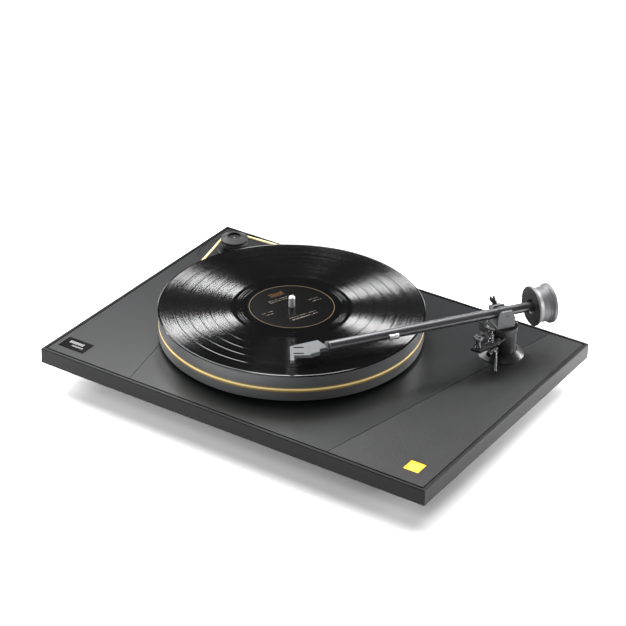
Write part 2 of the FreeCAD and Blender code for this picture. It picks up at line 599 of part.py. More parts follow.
turned("arm_pillar", PILLAR, [
    ("pillar_bore", "-pillar_below"), ("pillar_radius", "-pillar_below"),
    ("pillar_radius", "pillar_top"), ("pillar_bore", "pillar_top")])
turned("pillar_collar", PILLAR, [
    ("pillar_radius", "collar_bottom"), ("collar_radius - 0.4", "collar_bottom"),
    ("collar_radius", "collar_bottom + 0.4"), ("collar_radius", "collar_top - 0.6"),
    ("collar_radius - 0.6", "collar_top"), ("pillar_bore + 0.4", "collar_top"),
    ("pillar_bore + 0.4", "pillar_top"), ("pillar_radius", "pillar_top")])
BEARING_RINGS = [("pillar_top - 7", "pillar_top - 1"), ("4 - pillar_below", "10 - pillar_below")]
stacks("swing_bearings", PILLAR, level([("0", "0")]), [("pillar_bore", *ring) for ring in BEARING_RINGS],
       [("swing_shaft + swing_clear", "-pillar_below", "pillar_top")])

# ---------------------------------------------------------------- lift bracket, arm rest and cueing lift
BRACKET_TOP = "(bracket_bottom + bracket_thick)"
ROD_HOLE = "rod_radius + rod_clear"
bracket = new_body("lift_bracket")
pad(bracket, [[
    ("rest_x - 5.2", "rest_y - 6.6"), ("rest_x + 6.6", "rest_y - 6.6"), ("lifter_x + 6.3", "lifter_y"),
    ("lifter_x + 9.3", "-pillar_radius + 4.9"), ("lifter_x + 9.3", "0"), ("-pillar_radius - 2", "0"),
    ("-pillar_radius - 1.5", "-pillar_radius + 4"), ("rest_x - 7.8", "rest_y + 8.6")]],
    "bracket_bottom", "bracket_thick")
pocket(bracket, [("0", "0", "pillar_radius")], BRACKET_TOP, "bracket_thick + 1")
SCREW_SPOTS = [("lifter_x + 4.8", "lifter_y + 9"), ("-pillar_radius + 4", "lifter_y + 8"),
               ("rest_x + 4.4", "rest_y + 9.6")]
pocket(bracket, [("lifter_x", "lifter_y", ROD_HOLE), ("rest_x", "rest_y", "1.5"),
                 *holes(SCREW_SPOTS, "1.1")], BRACKET_TOP, "bracket_thick + 1")
soften(bracket, "Chamfer", 0.4, lambda edge: edge.BoundBox.ZMin > number(BRACKET_TOP) - 0.01
       and edge.BoundBox.YMax < -number("pillar_radius") and isinstance(edge.Curve, Part.Line))
finish(bracket, "lift_bracket", PILLAR)

# Slotted heads above the bracket, threaded ends and thin nuts below it.
bolts, slots = [], []
for x, y in SCREW_SPOTS:
    bolts.append(rod("bolt_head", (x, y, BRACKET_TOP), "1.6", "0", "1.3"))
    bolts.append(rod("bolt_end", (x, y, "bracket_bottom"), "1.1", "-3.2", "bracket_thick + 0.1"))
    bolts.append(rod("bolt_nut", (x, y, "bracket_bottom"), "1.9", "-1.6", "0"))
    slot_depth = (BRACKET_TOP + " + 0.8", BRACKET_TOP + " + 2")
    slots.append(block("bolt_slot", (f"{x} - 2", f"{x} + 2"), (f"{y} - 0.25", f"{y} + 0.25"), slot_depth))
finish(cut("bracket_screws", join("bolts", bolts), slots), "bracket_screws", PILLAR)

REST = ("rest_x", "rest_y", BRACKET_TOP)
finish(join("rest_post", [
    rod("post", REST, "rest_post_radius", "0", "rest_post_height"),
    rod("post_collar", REST, "rest_post_radius + 0.7", "0", "1.2"),
    rod("post_stud", REST, "1.5", "-bracket_thick - 3", "1"),
    rod("post_nut", REST, "rest_post_radius - 0.3", "-bracket_thick - 2.2", "-bracket_thick")]),
    "rest_post", PILLAR)

# The cradle is a drilled plate on the post, with a low lip along its left side.
CRADLE_BASE = f"({BRACKET_TOP} + rest_post_height)"
cradle = new_body("rest_cradle")
pad(cradle, [rectangle("rest_x", "rest_y", "9", "7.5")], CRADLE_BASE, "2.4")
pad(cradle, [rectangle("rest_x - 3.7", "rest_y", "1.6", "7.5")], CRADLE_BASE, "4")
soften(cradle, "Fillet", 0.5, lambda edge: edge.BoundBox.ZLength > 1)
pocket(cradle, [("rest_x + 0.8", "rest_y", "1.9")], CRADLE_BASE + " + 5", "5.6")
finish(cradle, "rest_cradle", PILLAR)

LIFTER = ("lifter_x", "lifter_y", BRACKET_TOP)
lifter = cut("lifter_bored", join("lifter_solid", [
    rod("lifter_barrel", LIFTER, "lifter_radius", "0", "lifter_height - 1.2"),
    rod("lifter_neck", LIFTER, "lifter_radius - 0.7", "0", "lifter_height"),
    rod("lifter_foot", LIFTER, "lifter_radius + 0.8", "0", "1.4"),
    rod("lifter_screw", ("lifter_x", "lifter_y", BRACKET_TOP + " + lifter_height - 3.4"), "0.9",
        "-lifter_radius - 1.6", "0", "y")]),
    [rod("lifter_bore", LIFTER, ROD_HOLE, "-1", "lifter_height + 1")])
finish(lifter, "lift_cylinder", PILLAR)

# The cam barrel lies under the bracket's right edge, with ribs round it, and takes the lever's shaft.
CAM_LEVEL = "(bracket_bottom - cam_radius)"
CAM_X, CAM_Y = "(lifter_x + 6.6)", "(lifter_y - 8.5)"
ribs = [rod("cam_rib", (CAM_X, CAM_Y, CAM_LEVEL), "cam_radius", f"{start}", f"{start} + 1.6", "y")
        for start in (-8, -5.4, -2.8, 1.2, 3.8, 6.4)]
core = rod("cam_core", (CAM_X, CAM_Y, CAM_LEVEL), "cam_radius - 0.5", "-8.5", "8.5", "y")
cross = rod("cam_cross", (CAM_X, CAM_Y, CAM_LEVEL), "lever_shaft + 0.06", "-1", "6", "x")
finish(cut("cam_housing", join("cam_solid", ribs + [core]), [cross]), "cam_housing", PILLAR)

# The lift: a rod in the cylinder, and a curved bar that follows the arm's sweep.
BAR_TOP = "(arm_level - tube_radius - lift_gap)"
BAR_BOTTOM = f"({BAR_TOP} - lift_bar_thick)"
BAR_INNER, BAR_OUTER = "(lift_bar_radius - lift_bar_width / 2)", "(lift_bar_radius + lift_bar_width / 2)"
BAR_START, BAR_END = -80, -146
stacks("lift_rod", PILLAR, [("lifter_x", "lifter_y", BAR_BOTTOM)],
       [("rod_radius", "bracket_bottom + 5 - " + BAR_BOTTOM, "0")])


def on_circle(radius, angle):
    return f"{radius} * cos({angle})", f"{radius} * sin({angle})"


bar = new_body("lift_bar")
pad(bar, [[(*on_circle(BAR_OUTER, BAR_START), "-" + BAR_OUTER), on_circle(BAR_OUTER, BAR_END),
           (*on_circle(BAR_INNER, BAR_END), BAR_INNER), on_circle(BAR_INNER, BAR_START)]],
    BAR_BOTTOM, "lift_bar_thick")
pad(bar, [rectangle("lift_bar_radius * cos(-108)", "lift_bar_radius * sin(-108)", "7.5", "6.5")],
    BAR_BOTTOM + " - 4", "4.2")
pad(bar, [rectangle("lift_bar_radius * cos(-98)", "lift_bar_radius * sin(-98)", "5", "3.6")],
    BAR_BOTTOM + " - 3", "3.2")
finish(bar, "lift_bar", PILLAR)

# ---------------------------------------------------------------- cue lever
# A bent wire lever on a short cross shaft; its eye sits just right of the cam barrel.
lever_start = Vector(number(CAM_X) + number("cam_radius") + 1.4, number(CAM_Y), number(CAM_LEVEL))
lever_end = lever_start + Vector(8.6, -14.8, -13.2)
lever_bend = lever_start + Vector(2.4, -3.4, -4.6)
lever_size = number("lever_radius")


def straight(start, end, radius):
    return Part.makeCylinder(radius, (end - start).Length, start, end - start)


lever = doc.addObject("Part::Feature", "cue_lever")
lever.Shape = straight(lever_start, lever_bend, lever_size).multiFuse([
    straight(lever_bend, lever_end, lever_size),
    Part.makeSphere(lever_size, lever_bend),
    Part.makeSphere(lever_size * 1.2, lever_end),
    straight(lever_start - Vector(1.1, 0, 0), lever_start + Vector(1.1, 0, 0), number("lever_eye")),
    straight(lever_start - Vector(4.8, 0, 0), lever_start, number("lever_shaft"))])
finish(lever, "cue_lever", PILLAR)

# ---------------------------------------------------------------- gimbal yoke
FLOOR = "(collar_top + yoke_gap - arm_level)"
FLOOR_TOP = f"({FLOOR} + yoke_floor)"
CHEEK_OUT = "(cheek_inner + cheek_thick)"
CHEEK_FRONT, CHEEK_BACK = "(cheek_shift + cheek_length / 2)", "(cheek_shift - cheek_length / 2)"


def cheek(inner, outer, rise):
    """A cheek plate with clipped top corners, from its inner to its outer face."""
    corners = [
        (CHEEK_BACK, FLOOR), (CHEEK_FRONT, FLOOR), (CHEEK_FRONT, "-cheek_slope"),
        ("cheek_shift + cheek_top_length / 2", rise), ("cheek_shift - cheek_top_length / 2", rise),
        (CHEEK_BACK, "-cheek_slope")]
    spots = [Vector(number(x), number(inner), number(z)) for x, z in corners]
    face = Part.Face(Part.makePolygon(spots + spots[:1]))
    return face.extrude(Vector(0, number(outer) - number(inner), 0))


half_width = number(CHEEK_OUT)
ledge_outer = -half_width - number("ledge_width")
floor_plate = Part.makeBox(
    number("cheek_length"), 2 * half_width, number("yoke_floor"),
    Vector(number(CHEEK_BACK), -half_width, number(FLOOR)))
ledge = Part.makeBox(
    number("ledge_length"), number("ledge_width"), number("ledge_deep"),
    Vector(number("cheek_shift - ledge_length / 2"), ledge_outer, -number("ledge_deep")))
screw_bore = Part.makeCylinder(
    number("pivot_radius"), half_width + 1 - ledge_outer, Vector(0, ledge_outer, 0), Vector(0, 1, 0))
shaft_bore = Part.makeCylinder(number("swing_shaft"), number("yoke_floor"), Vector(0, 0, number(FLOOR)))
yoke = doc.addObject("Part::Feature", "gimbal_yoke")
near_cheek = cheek("cheek_inner", CHEEK_OUT, "cheek_rise")
far_cheek = cheek("-cheek_inner", f"-{CHEEK_OUT}", "cheek_far_rise")
casting = floor_plate.multiFuse([near_cheek, far_cheek, ledge]).removeSplitter()
yoke.Shape = casting.cut(screw_bore).cut(shaft_bore)
finish(yoke, "gimbal_yoke", ARM)

stacks("swing_spindle", PILLAR, level([("0", "0")]),
       [("swing_shaft", "2 - pillar_below", f"arm_level + {FLOOR_TOP}")])

# Two pivot screws meet the tube from its sides: slotted bodies in the cheeks, with fine round tips.
AXIS = ("0", "0", "0")
screws = [
    rod("pivot_body", AXIS, "pivot_radius", "cheek_inner", CHEEK_OUT + " + 0.5", "y"),
    rod("pivot_body", AXIS, "pivot_radius", f"-{CHEEK_OUT} - 0.5", "-cheek_inner", "y"),
    rod("pivot_tip", AXIS, "tip_radius", "tip_reach", "cheek_inner", "y"),
    rod("pivot_tip", AXIS, "tip_radius", "-cheek_inner", "-tip_reach", "y")]
driver_slot = block("pivot_slot", ("-3", "3"), (CHEEK_OUT, CHEEK_OUT + " + 1"), ("-0.3", "0.3"))
finish(cut("pivot_screws", join("pivot_solids", screws), [driver_slot]), "pivot_screws", ARM)

# The anti-skate fork stands on the yoke's far ledge: a leaning stem with two prongs.
FORK_Y = f"(-{CHEEK_OUT} - ledge_width + 2)"
STEM_SIDES = (FORK_Y + " - 1", FORK_Y + " + 1")
HEAD_SIDES = (FORK_Y + " - 1.4", FORK_Y + " + 1.4")
fork = join("fork", [
    block("fork_stem", ("-0.4", "4.8"), STEM_SIDES, ("0", "prong_top - 6.8")),
    block("fork_middle", ("1.4", "6.6"), STEM_SIDES, ("prong_top - 7.6", "prong_top - 3.4")),
    block("fork_head", ("2.6", "8.4"), HEAD_SIDES, ("prong_top - 5", "prong_top - 2.8")),
    block("fork_left", ("2.6", "4.5"), HEAD_SIDES, ("prong_top - 3.2", "prong_top")),
    block("fork_right", ("6.5", "8.4"), HEAD_SIDES, ("prong_top - 3.2", "prong_top"))])
finish(fork, "antiskate_fork", ARM)


def rounded_route(points, radius, size):
    """A round tube of straight runs joined by tangent arcs of one radius."""
    edges = []
    start = points[0]
    for before, corner, after in zip(points, points[1:], points[2:]):
        arriving = (corner - before).normalize()
        leaving = (after - corner).normalize()
        turn = arriving.getAngle(leaving)
        setback = radius * math.tan(turn / 2)
        first, last = corner - arriving * setback, corner + leaving * setback
        middle_way = (leaving - arriving).normalize()
        middle = corner + middle_way * (radius / math.cos(turn / 2) - radius)
        edges.append(Part.LineSegment(start, first).toShape())
        edges.append(Part.Arc(first, middle, last).toShape())
        start = last
    edges.append(Part.LineSegment(start, points[-1]).toShape())
    path = Part.Wire(edges)
    section = Part.Wire([Part.makeCircle(size, points[0], points[1] - points[0])])
    return path.makePipeShell([section], True, False)


# The fine signal lead leaves the back of the near cheek, loops out and dips into the collar's rear edge.
cheek_back = number(CHEEK_BACK)
cheek_mid = number("cheek_inner") + number("cheek_thick") / 2
lead_low = number(FLOOR) + 0.2
lead_route = [
    Vector(cheek_back, cheek_mid, -5.5),
    Vector(cheek_back - 3.2, cheek_mid, -5.2),
    Vector(cheek_back - 5.4, cheek_mid - 1.2, -8.2),
    Vector(cheek_back - 4.2, cheek_mid - 3.6, lead_low + 1),
    Vector(cheek_back, cheek_mid - 3.6, lead_low + 1)]
lead = doc.addObject("Part::Feature", "signal_lead")
lead.Shape = rounded_route(lead_route, 1.3, 0.45)
finish(lead, "signal_lead", ARM)

# ---------------------------------------------------------------- tonearm
TIP_HOLE = "tip_radius + tip_clear"
tube = lathe("tube_blank", [
    ("-stub_end", "0"), ("12 - stub_start", "0"), ("12 - stub_start", "tube_bore"),
    ("tube_end", "tube_bore"), ("tube_end", "tube_radius"), ("-stub_start", "tube_radius"),
    ("-stub_start", "stub_radius"), ("-stub_end + 0.6", "stub_radius"),
    ("-stub_end", "stub_radius - 0.6")], along="x")
tip_hole = rod("tube_tip_hole", AXIS, TIP_HOLE, "-tube_radius - 1", "tube_radius + 1", "y")
finish(cut("tube_drilled", tube, [tip_hole]), "arm_tube", ARM)

# A thin sleeve stiffens the tube where the pivot points enter.
sleeve = lathe("sleeve_blank", [
    ("-sleeve_length / 2", "tube_radius"), ("sleeve_length / 2", "tube_radius"),
    ("sleeve_length / 2", "sleeve_radius"), ("-sleeve_length / 2", "sleeve_radius")], along="x")
sleeve_hole = rod("sleeve_tip_hole", AXIS, TIP_HOLE, "-tube_radius - 1", "tube_radius + 1", "y")
finish(cut("sleeve_drilled", sleeve, [sleeve_hole]), "tilt_sleeve", ARM)

RING_RADIUS, RING_EDGE = "(tube_radius + 0.4)", "(tube_radius + 0.15)"
turned("head_ring", ARM, [
    ("tube_end - ring_length", "tube_radius"), ("tube_end", "tube_radius"), ("tube_end", RING_EDGE),
    ("tube_end - 0.5", RING_RADIUS), ("tube_end - ring_length + 0.5", RING_RADIUS),
    ("tube_end - ring_length", RING_EDGE)], along="x")

# The slug is a knurled weight clipped against the near, lower side of the tube.
slug_x = ("slug_reach - slug_length / 2", "slug_reach + slug_length / 2")
SLUG_SPOT = ("0", "tube_radius + 0.35", "-0.6")
slug = join("slug_solid", [
    rod("slug_core", SLUG_SPOT, "slug_radius - 0.35", *slug_x, "x"),
    rod("slug_front", SLUG_SPOT, "slug_radius", slug_x[0], slug_x[0] + " + slug_knurl", "x"),
    rod("slug_back", SLUG_SPOT, "slug_radius", slug_x[1] + " - slug_knurl", slug_x[1], "x")])
slug_seat = rod("slug_seat", AXIS, "tube_radius", slug_x[0] + " - 1", slug_x[1] + " + 1", "x")
finish(cut("slug_seated", slug, [slug_seat]), "damping_slug", ARM)

turned("counterweight", ARM, [
    ("-weight_front - weight_length", "stub_radius + weight_clear"),
    ("-weight_front - 5", "stub_radius + weight_clear"), ("-weight_front - 5", "weight_mouth"),
    ("-weight_front - 0.6", "weight_mouth"), ("-weight_front", "weight_mouth + 0.6"),
    ("-weight_front", "weight_radius - weight_round", "weight_round"),
    ("-weight_front - weight_round", "weight_radius"),
    ("-weight_front - 2.2", "weight_radius", "2.6"), ("-weight_front - 4.2", "weight_radius - 1.3"),
    ("-weight_front - 7.4", "weight_waist"), ("-weight_front - weight_length + 9", "weight_waist"),
    ("-weight_front - weight_length + 5.6", "weight_radius - 1.3", "2.6"),
    ("-weight_front - weight_length + 3.6", "weight_radius"),
    ("-weight_front - weight_length + weight_round", "weight_radius", "weight_round"),
    ("-weight_front - weight_length", "weight_radius - weight_round")], along="x")

# ---------------------------------------------------------------- headshell
# X runs along the cartridge slots to the front edge, Y to the finger lift; the tube meets it at an angle.
PLATE_TOP = "(-shell_drop)"


def from_tube(along, across):
    """A point given along and across the tube, in the headshell's own directions."""
    step, shift = f"({along} - shell_reach)", f"({across} - shell_side)"
    return (f"{step} * cos(offset_angle) - {shift} * sin(offset_angle)",
            f"{step} * sin(offset_angle) + {shift} * cos(offset_angle)")


shell = new_body("shell_plate")
NEAR_STEP = ("-shell_front - 3.6", "shell_near - 0.5")
pad(shell, [[
    from_tube("tube_end", "-tube_radius"), from_tube("tube_end + 3.2", "-17.4"),
    ("shell_front", "-shell_far"), ("shell_front", "finger_reach"),
    ("shell_front - finger_width", "finger_reach - 0.2"), ("shell_front - finger_width", "shell_near"),
    NEAR_STEP, from_tube("tube_end + 10.8", "8.1"), from_tube("tube_end + 9", "3"),
    from_tube("tube_end", "tube_radius - 2.4")]], "-shell_thick - shell_drop", "shell_thick")
pad(shell, [[
    from_tube("tube_end", "1.2 - tube_radius"), from_tube("tube_end + 3", "-8.6"),
    from_tube("tube_end + 15.8", "-8.6"), ("-shell_front - 3.6", "shell_near - 1"),
    from_tube("tube_end + 11", "7.6"), from_tube("tube_end + 9.2", "2.8"),
    from_tube("tube_end", "tube_radius - 2.8")]], PLATE_TOP + " - 0.2", "1.4")


def slot(y):
    """A cartridge slot: two straight sides and two round ends."""
    half, radius = "(slot_length / 2 - slot_width / 2)", "slot_width / 2"
    return [(f"-{half}", f"{y} - {radius}"), (half, f"{y} - {radius}", f"{radius} * 1.0001"),
            (half, f"{y} + {radius}"), (f"-{half}", f"{y} + {radius}", f"{radius} * 1.0001")]


pocket(shell, [slot("-slot_spacing / 2"), slot("slot_spacing / 2")], PLATE_TOP + " + 2", "shell_thick + 3")

# A round plug on the plate's rear end is pressed into the tube.
plug_way = Rotation(Vector(0, 0, 1), number("offset_angle")).multVec(Vector(1, 0, 0))
plug_root = Vector(*[number(value) for value in from_tube("tube_end", "0")], 0)
plug_tip = plug_root - plug_way * number("neck_length")
neck = doc.addObject("Part::Feature", "neck_plug")
neck.Shape = straight(plug_tip, plug_root + plug_way * 0.4, number("tube_bore") - 0.03)
finish(join("shell_with_neck", [shell, neck]), "headshell", SHELL)

# ---------------------------------------------------------------- rear connections
BOX_FLOOR = "(foot_height - box_height)"
BOX_MIDDLE = "(box_back - box_depth / 2)"
SOCKET_LEVEL = "(foot_height - box_height / 2)"
SOCKETS = [("box_x + 16 - socket_spacing / 2", "box_back", SOCKET_LEVEL),
           ("box_x + 16 + socket_spacing / 2", "box_back", SOCKET_LEVEL)]
EARTH = ("box_x - 10", "box_back", SOCKET_LEVEL)
INLET = ("box_x - 38", "box_back", SOCKET_LEVEL)

case = new_body("case_blank")
pad(case, [rectangle("box_x", BOX_MIDDLE, "box_length", "box_depth")], BOX_FLOOR, "box_height")
soften(case, "Fillet", 2.5, lambda edge: edge.BoundBox.ZLength > 1)
pocket(case, [rectangle("box_x", BOX_MIDDLE, "box_length - 2 * box_wall", "box_depth - 2 * box_wall")],
       "foot_height + 1", "box_height + 1 - box_wall")
wall_holes = [rod("wall_hole", spot, "socket_bore + 0.05", "-box_wall - 1", "1", "y") for spot in SOCKETS]
wall_holes.append(rod("wall_hole", EARTH, "earth_radius + 0.05", "-box_wall - 1", "1", "y"))
wall_holes.append(rod("wall_hole", INLET, "inlet_radius + 0.05", "-box_wall - 1", "1", "y"))
finish(cut("case_drilled", case, wall_holes), "terminal_box", DECK)

stacks("phono_sockets", DECK, SOCKETS,
       [("socket_radius + 1.8", "0", "1.2"), ("socket_radius", "1.2", "1.2 + socket_length"),
        ("socket_bore", "-box_wall - 3", "0.2")],
       [("socket_bore - 0.6", "-box_wall - 4", "1.2"),
        ("socket_bore", "1.2", "2 + socket_length")], axis="y")
stacks("socket_insulators", DECK, SOCKETS,
       [("socket_bore", "1.2", "socket_length + 0.4"), ("socket_bore - 0.6", "-box_wall - 2.5", "1.3")],
       [("contact_radius", "-1", "2 + socket_length")], axis="y")
stacks("ground_post", DECK, [EARTH],
       [("earth_radius + 2", "0", "1.4"), ("earth_radius", "-box_wall - 4", "1.4 + earth_length"),
        ("earth_radius + 1.6", "-box_wall - 2", "-box_wall")], axis="y")
inlet_shell = rod("inlet_shell", INLET, "inlet_radius", "-9", "0.8", "y")
inlet_rim = rod("inlet_rim", INLET, "inlet_radius + 1.4", "0", "0.8", "y")
inlet_bore = rod("inlet_bore_hole", INLET, "inlet_bore", "-7.5", "2", "y")
inlet_pin = rod("inlet_pin", INLET, "1", "-8", "0.2", "y")
inlet = cut("inlet_hollow", join("inlet_solid", [inlet_shell, inlet_rim]), [inlet_bore])
finish(join("inlet_with_pin", [inlet, inlet_pin]), "power_inlet", DECK)

# ---------------------------------------------------------------- check and write
doc.recompute()
for item in doc.Objects:
    if {"Invalid", "Error"} & set(item.State):
        raise ValueError(f"{item.Label} failed: {item.State}")
os.makedirs("parts", exist_ok=True)
for piece in finished:
    if piece.Shape.isNull() or not piece.Shape.isValid() or not piece.Shape.Solids:
        raise ValueError(f"{piece.Label} is not a sound solid")
for piece in finished:
    piece.Shape.exportStep(f"parts/{piece.Label}.step")
    print(f"{piece.Label:20s} {len(piece.Shape.Solids):3d} solids {piece.Shape.Volume:12.1f} mm3")
print(len(finished), "sub-parts")
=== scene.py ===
import json
import math
import bpy
from mathutils import Matrix, Vector

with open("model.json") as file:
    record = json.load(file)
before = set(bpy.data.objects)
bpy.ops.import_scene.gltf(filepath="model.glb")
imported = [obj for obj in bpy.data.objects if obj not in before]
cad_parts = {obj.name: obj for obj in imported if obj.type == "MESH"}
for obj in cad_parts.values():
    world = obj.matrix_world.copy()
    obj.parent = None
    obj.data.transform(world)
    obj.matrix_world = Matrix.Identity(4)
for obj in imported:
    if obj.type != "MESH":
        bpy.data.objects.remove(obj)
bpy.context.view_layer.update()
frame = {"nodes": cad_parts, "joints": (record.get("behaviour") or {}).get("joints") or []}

nodes = frame["nodes"]
MM = 0.001

# ---------------------------------------------------------------- camera
# A long lens from the front right, thirty degrees above the deck, with a slight roll.
CAMERA_AZIMUTH, CAMERA_HEIGHT, CAMERA_ROLL = 32.717, 29.646, 1.118
CAMERA_PLACE = Vector((1.20814, -1.88923, 1.36476))
CAMERA_LENS, CAMERA_SENSOR, CAMERA_FAR = 133.1, 36, 30


def camera_turn(azimuth, elevation, roll):
    """The camera's axes as a rotation: right, up and back, with the roll about the view direction."""
    turned, tipped = math.radians(azimuth), math.radians(elevation)
    right = Vector((math.cos(turned), math.sin(turned), 0))
    towards = Vector((math.sin(turned), -math.cos(turned), 0))
    back = towards * math.cos(tipped) + Vector((0, 0, math.sin(tipped)))
    level = Matrix((right, back.cross(right), back)).transposed()
    return (level @ Matrix.Rotation(math.radians(roll), 3, "Z")).to_euler()


camera = bpy.data.objects.new("camera", bpy.data.cameras.new("camera"))
camera.data.lens = CAMERA_LENS
camera.data.sensor_width = CAMERA_SENSOR
camera.data.clip_end = CAMERA_FAR
camera.location = CAMERA_PLACE
camera.rotation_euler = camera_turn(CAMERA_AZIMUTH, CAMERA_HEIGHT, CAMERA_ROLL)
bpy.context.scene.collection.objects.link(camera)
bpy.context.scene.camera = camera
bpy.context.scene.view_settings.view_transform = "Standard"


# ---------------------------------------------------------------- floor and light
# A white card under the deck. Two small soft boxes behind it, left and right, make the record's bright fans;
# broad ones high up and at the front fill in the deck's top and sides, and two low ones brighten the ends of
# the platter and the plinth.
class Socket:
    """A node's output. Arithmetic on it adds Math nodes to the same material."""

    def __init__(self, finish, socket):
        self.finish, self.socket = finish, socket

    def math(self, operation, *values):
        return self.finish.node("ShaderNodeMath", {"operation": operation}, dict(enumerate(values)))

    def __add__(self, other):
        return self.math("ADD", self, other)

    def __sub__(self, other):
        return self.math("SUBTRACT", self, other)

    def __rsub__(self, other):
        return self.math("SUBTRACT", other, self)

    def __mul__(self, other):
        return self.math("MULTIPLY", self, other)

    def __truediv__(self, other):
        return self.math("DIVIDE", self, other)

    def __gt__(self, other):
        return self.math("GREATER_THAN", self, other)

    def __lt__(self, other):
        return self.math("LESS_THAN", self, other)

    __radd__ = __add__
    __rmul__ = __mul__

    def within(self, low, high):
        return (self > low) * (self < high)

    def whole(self):
        return self.math("FLOOR", self)

    def part_over(self):
        return self.math("FRACT", self)

    def size(self):
        return self.math("ABSOLUTE", self)

    def ease(self, low, high):
        """0 below low, 1 above high, smooth between."""
        return self.finish.node("ShaderNodeMapRange", {"interpolation_type": "SMOOTHSTEP"},
                                {0: self, 1: low, 2: high})


class Finish:
    """A material. Constants go on the shader's own sockets; what varies is linked to them later."""

    def __init__(self, name, colour, roughness=0.5, metallic=0.0, **constants):
        self.material = bpy.data.materials.new(name)
        self.material.use_nodes = True
        self.tree = self.material.node_tree
        self.shader = self.tree.nodes["Principled BSDF"]
        self.feed("Base Color", colour)
        self.feed("Roughness", roughness)
        self.feed("Metallic", metallic)
        for socket, value in constants.items():
            self.feed(socket.replace("_", " "), value)

    def feed(self, name, value, node=None):
        """Link a Socket, or set a value; a colour is three numbers."""
        socket = (node or self.shader).inputs[name]
        if isinstance(value, Socket):
            self.tree.links.new(value.socket, socket)
        elif socket.type == "RGBA":
            socket.default_value = (*value, 1)
        else:
            socket.default_value = value

    def node(self, kind, settings=None, inputs=None, output=0):
        made = self.tree.nodes.new(kind)
        for name, value in (settings or {}).items():
            setattr(made, name, value)
        for name, value in (inputs or {}).items():
            self.feed(name, value, made)
        return Socket(self, made.outputs[output])

    def place(self):
        """Where the shaded point is on the piece, in millimetres, whatever pose the piece is in."""
        return self.scaled(self.node("ShaderNodeTexCoord", output="Object"), 1 / MM)

    def vector(self, operation, *vectors, output=0):
        return self.node("ShaderNodeVectorMath", {"operation": operation}, dict(enumerate(vectors)), output)

    def scaled(self, vector, by):
        return self.node("ShaderNodeVectorMath", {"operation": "SCALE"}, {0: vector, "Scale": by})

    def stretch(self, vector, x, y, z):
        return self.vector("MULTIPLY", vector, (x, y, z))

    def part(self, vector, axis):
        return self.node("ShaderNodeSeparateXYZ", inputs={0: vector}, output=axis)

    def noise(self, vector, scale, detail=2.0, rough=0.5):
        return self.node("ShaderNodeTexNoise", inputs={
            "Vector": vector, "Scale": scale, "Detail": detail, "Roughness": rough})

    def rings(self, radius, scale, detail, rough=0.5):
        """Noise that changes only with the radius."""
        return self.node("ShaderNodeTexNoise", {"noise_dimensions": "1D"}, {
            "W": radius, "Scale": scale, "Detail": detail, "Roughness": rough})

    def random(self, value):
        """A random number for each whole value."""
        return self.node("ShaderNodeTexWhiteNoise", {"noise_dimensions": "1D"}, {"W": value})

    def bump(self, height, strength, distance):
        """Relief from a height; its full depth is in millimetres."""
        self.feed("Normal", self.node("ShaderNodeBump", inputs={
            "Height": height, "Strength": strength, "Distance": distance * MM}))

    def fine_grain(self, scale, strength, depth, detail=2.0):
        """Fine relief all over the piece."""
        self.bump(self.noise(self.place(), scale, detail), strength, depth)

    def uneven_gloss(self, roughness, spread, scale):
        """A roughness that varies a little over the piece."""
        self.feed("Roughness", roughness + spread * self.noise(self.place(), scale))

    def mix(self, factor, first, second):
        return self.node("ShaderNodeMix", {"data_type": "RGBA"}, {0: factor, 6: first, 7: second}, output=2)

    def paint(self, *names):
        """Give this finish to CAD nodes."""
        for name in names:
            nodes[name].data.materials.clear()
            nodes[name].data.materials.append(self.material)


floor_card = Finish("floor_card", (0.9, 0.9, 0.9), 0.9, Specular_IOR_Level=0.0, Emission_Strength=0.12)
floor_card.feed("Emission Color", (1, 1, 1))
FLOOR_HALF, FLOOR_DROP = 5.0, 0.0002
floor_mesh = bpy.data.meshes.new("floor")
floor_corners = [(x * FLOOR_HALF, y * FLOOR_HALF, 0) for x, y in ((-1, -1), (1, -1), (1, 1), (-1, 1))]
floor_mesh.from_pydata(floor_corners, [], [(0, 1, 2, 3)])
floor_mesh.materials.append(floor_card.material)
floor = bpy.data.objects.new("floor", floor_mesh)
floor.location.z = -FLOOR_DROP
bpy.context.scene.collection.objects.link(floor)

VIEW_RIGHT = Vector((math.cos(math.radians(CAMERA_AZIMUTH)), math.sin(math.radians(CAMERA_AZIMUTH)), 0))
VIEW_AWAY = Vector((-VIEW_RIGHT.y, VIEW_RIGHT.x, 0))


def soft_box(name, bearing, elevation, distance, width, height, power):
    """A rectangular soft box facing the deck; its bearing turns anticlockwise from the camera's right."""
    turned, tipped = math.radians(bearing), math.radians(elevation)
    flat = VIEW_RIGHT * math.cos(turned) + VIEW_AWAY * math.sin(turned)
    towards = flat * math.cos(tipped) + Vector((0, 0, math.sin(tipped)))
    lamp = bpy.data.lights.new(name, "AREA")
    lamp.shape = "RECTANGLE"
    lamp.size, lamp.size_y, lamp.energy = width, height, power
    box = bpy.data.objects.new(name, lamp)
    box.location = towards * distance
    box.rotation_euler = towards.to_track_quat("Z", "Y").to_euler()
    bpy.context.scene.collection.objects.link(box)


soft_box("box_left", 143.2, 30.5, 1.4, 0.5, 0.5, 19)
soft_box("box_right", 38.2, 33.5, 1.1, 0.4, 0.4, 14)
soft_box("box_behind", 112, 46, 1.3, 0.6, 0.5, 7.5)
soft_box("box_top", 100, 68, 2.4, 1.6, 1.6, 75)
soft_box("box_high_left", 250, 45, 2.2, 1.2, 1.2, 15)
soft_box("box_low_left", 196, 14, 0.7, 0.25, 0.15, 1.3)
soft_box("box_low_right", 0, 12, 0.66, 0.25, 0.15, 2.6)

